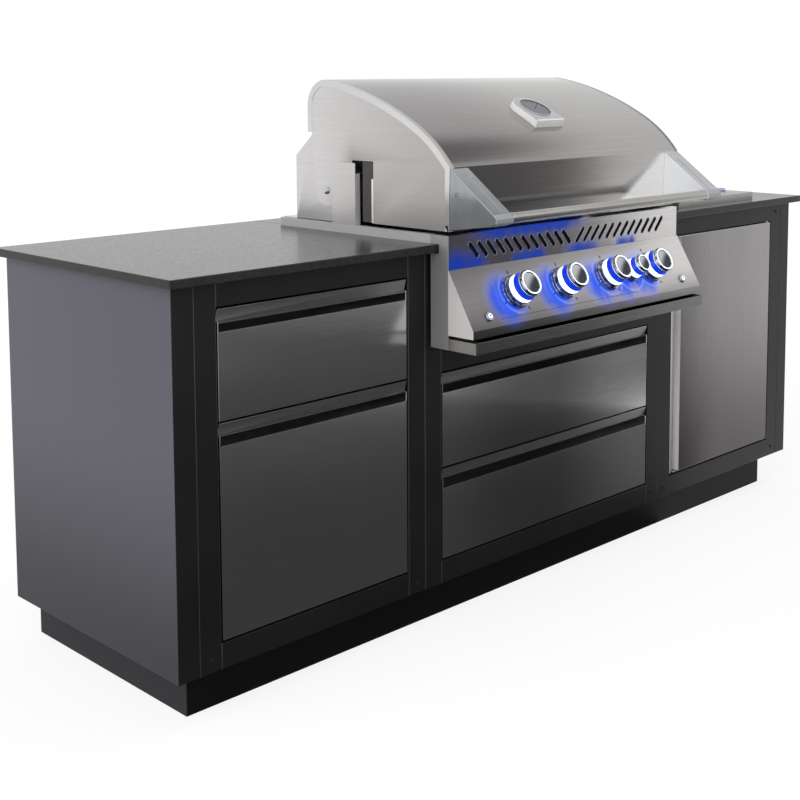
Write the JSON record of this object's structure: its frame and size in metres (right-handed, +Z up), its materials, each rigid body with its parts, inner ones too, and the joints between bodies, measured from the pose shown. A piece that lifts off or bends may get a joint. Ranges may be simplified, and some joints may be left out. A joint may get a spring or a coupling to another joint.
{
  "type": "outdoor kitchen",
  "caption": "Modular outdoor kitchen: dark cabinets with drawers and a door, stone worktop, built-in gas grill with hinged lid and lit knobs, drop-in side burner.",
  "frame": {"origin": "middle of the bounding box on the floor", "axes": "+X to the right seen from the front, +Y towards the back, +Z up"},
  "size_m": [2.353, 0.86, 1.2847],
  "materials": {
    "charcoal_coat": "fine satin powder coat",
    "dark_stone": "leathered dark stone",
    "dark_steel": "brushed dark stainless",
    "brushed_stainless": "brushed stainless",
    "polished_chrome": "polished",
    "zinc_sheet": "plain zinc sheet",
    "nylon": "moulded",
    "lit_button": "lit ring",
    "cast_grate": "enamelled",
    "aluminium_pipe": "plain",
    "ceramic_tile": "perforated tile"
  },
  "bodies": {
    "cabinet": {"plinth_boards": "charcoal_coat", "levelling_feet": "nylon", "end_panel_left": "charcoal_coat", "end_panel_right": "charcoal_coat", "left_cabinet_panels": "charcoal_coat", "grill_cabinet_panels": "charcoal_coat", "right_cabinet_panels": "charcoal_coat", "left_face_frame": "charcoal_coat", "grill_face_frame": "charcoal_coat", "right_face_frame": "charcoal_coat", "cabinet_shelf": "charcoal_coat", "drawer_rails": "zinc_sheet", "countertop_left": "dark_stone", "countertop_rear": "dark_stone", "countertop_right": "dark_stone", "frame_screws": "charcoal_coat", "door_pivot_pins": "polished_chrome", "grill_flange": "brushed_stainless", "bezel_sides": "brushed_stainless", "louver_panel": "brushed_stainless", "control_panel": "brushed_stainless", "control_bezels": "polished_chrome", "gas_manifold": "aluminium_pipe", "firebox_walls": "brushed_stainless", "cooking_grids": "brushed_stainless", "burner_tubes": "brushed_stainless", "heat_plates": "brushed_stainless", "rear_hood": "brushed_stainless", "lid_pivot_bolts": "polished_chrome", "spit_brackets": "brushed_stainless", "warming_rack": "brushed_stainless", "rear_burner": "ceramic_tile", "side_burner_pan": "brushed_stainless", "side_burner_ring": "brushed_stainless", "side_burner_grate": "cast_grate"},
    "lid": {"lid_skin": "brushed_stainless", "lid_sides": "brushed_stainless", "lid_handle_brackets": "polished_chrome", "lid_handle_bar": "brushed_stainless", "lid_gauge": "polished_chrome"},
    "drip_tray": {"drip_tray": "brushed_stainless"},
    "door": {"door_panel": "dark_steel", "door_pivot_bushes": "nylon"},
    "side_burner_lid": {"side_burner_lid": "brushed_stainless"},
    "side_burner_dial": {"side_burner_dial": "polished_chrome"},
    "light_button": {"light_button": "lit_button"},
    "ignition_button": {"ignition_button": "lit_button"},
    "rear_burner_knob": {"rear_burner_knob": "polished_chrome"},
    "left_upper_drawer": {"left_upper_drawer_front": "dark_steel", "left_upper_drawer_box": "zinc_sheet"},
    "left_lower_drawer": {"left_lower_drawer_front": "dark_steel", "left_lower_drawer_box": "zinc_sheet"},
    "grill_upper_drawer": {"grill_upper_drawer_front": "dark_steel", "grill_upper_drawer_box": "zinc_sheet"},
    "grill_lower_drawer": {"grill_lower_drawer_front": "dark_steel", "grill_lower_drawer_box": "zinc_sheet"},
    "burner_knob_1": {"burner_knob_1": "polished_chrome"},
    "burner_knob_2": {"burner_knob_2": "polished_chrome"},
    "burner_knob_3": {"burner_knob_3": "polished_chrome"},
    "burner_knob_4": {"burner_knob_4": "polished_chrome"}
  },
  "joints": [
    {"name": "lid_hinge", "type": "hinge", "parent": "cabinet", "child": "lid", "pos_m": [0, 0.125, 1.013], "axis": [-1, 0, 0], "range_deg": [0, 85]},
    {"name": "drip_tray_slide", "type": "slide", "parent": "cabinet", "child": "drip_tray", "axis": [0, -1, 0], "range_m": [0, 0.4]},
    {"name": "door_hinge", "type": "hinge", "parent": "cabinet", "child": "door", "pos_m": [1.0385, -0.221, 0.5], "axis": [0, 0, 1], "range_deg": [0, 105]},
    {"name": "side_burner_lid_hinge", "type": "hinge", "parent": "cabinet", "child": "side_burner_lid", "pos_m": [0.7845, 0.2434, 0.93], "axis": [-1, 0, 0], "range_deg": [0, 95]},
    {"name": "side_burner_dial_turn", "type": "hinge", "parent": "cabinet", "child": "side_burner_dial", "pos_m": [0.9355, -0.115, 0.935], "axis": [0, 0, 1], "range_deg": [0, 210]},
    {"name": "left_upper_drawer_slide", "type": "slide", "parent": "cabinet", "child": "left_upper_drawer", "axis": [0, -1, 0], "range_m": [0, 0.42]},
    {"name": "left_lower_drawer_slide", "type": "slide", "parent": "cabinet", "child": "left_lower_drawer", "axis": [0, -1, 0], "range_m": [0, 0.42]},
    {"name": "grill_upper_drawer_slide", "type": "slide", "parent": "cabinet", "child": "grill_upper_drawer", "axis": [0, -1, 0], "range_m": [0, 0.42]},
    {"name": "grill_lower_drawer_slide", "type": "slide", "parent": "cabinet", "child": "grill_lower_drawer", "axis": [0, -1, 0], "range_m": [0, 0.42]},
    {"name": "burner_knob_1_turn", "type": "hinge", "parent": "cabinet", "child": "burner_knob_1", "pos_m": [-0.2655, -0.3302, 0.7913], "axis": [0, -0.8645, 0.5026], "range_deg": [0, 210]},
    {"name": "burner_knob_2_turn", "type": "hinge", "parent": "cabinet", "child": "burner_knob_2", "pos_m": [-0.0885, -0.3302, 0.7913], "axis": [0, -0.8645, 0.5026], "range_deg": [0, 210]},
    {"name": "burner_knob_3_turn", "type": "hinge", "parent": "cabinet", "child": "burner_knob_3", "pos_m": [0.0885, -0.3302, 0.7913], "axis": [0, -0.8645, 0.5026], "range_deg": [0, 210]},
    {"name": "burner_knob_4_turn", "type": "hinge", "parent": "cabinet", "child": "burner_knob_4", "pos_m": [0.2655, -0.3302, 0.7913], "axis": [0, -0.8645, 0.5026], "range_deg": [0, 210]},
    {"name": "rear_burner_knob_turn", "type": "hinge", "parent": "cabinet", "child": "rear_burner_knob", "pos_m": [0.177, -0.3302, 0.7913], "axis": [0, -0.8645, 0.5026], "range_deg": [0, 210]},
    {"name": "light_button_press", "type": "slide", "parent": "cabinet", "child": "light_button", "axis": [0, 0.8645, -0.5026], "range_m": [0, 0.003], "stiffness_N_per_m": 300},
    {"name": "ignition_button_press", "type": "slide", "parent": "cabinet", "child": "ignition_button", "axis": [0, 0.8645, -0.5026], "range_m": [0, 0.003], "stiffness_N_per_m": 300}
  ]
}
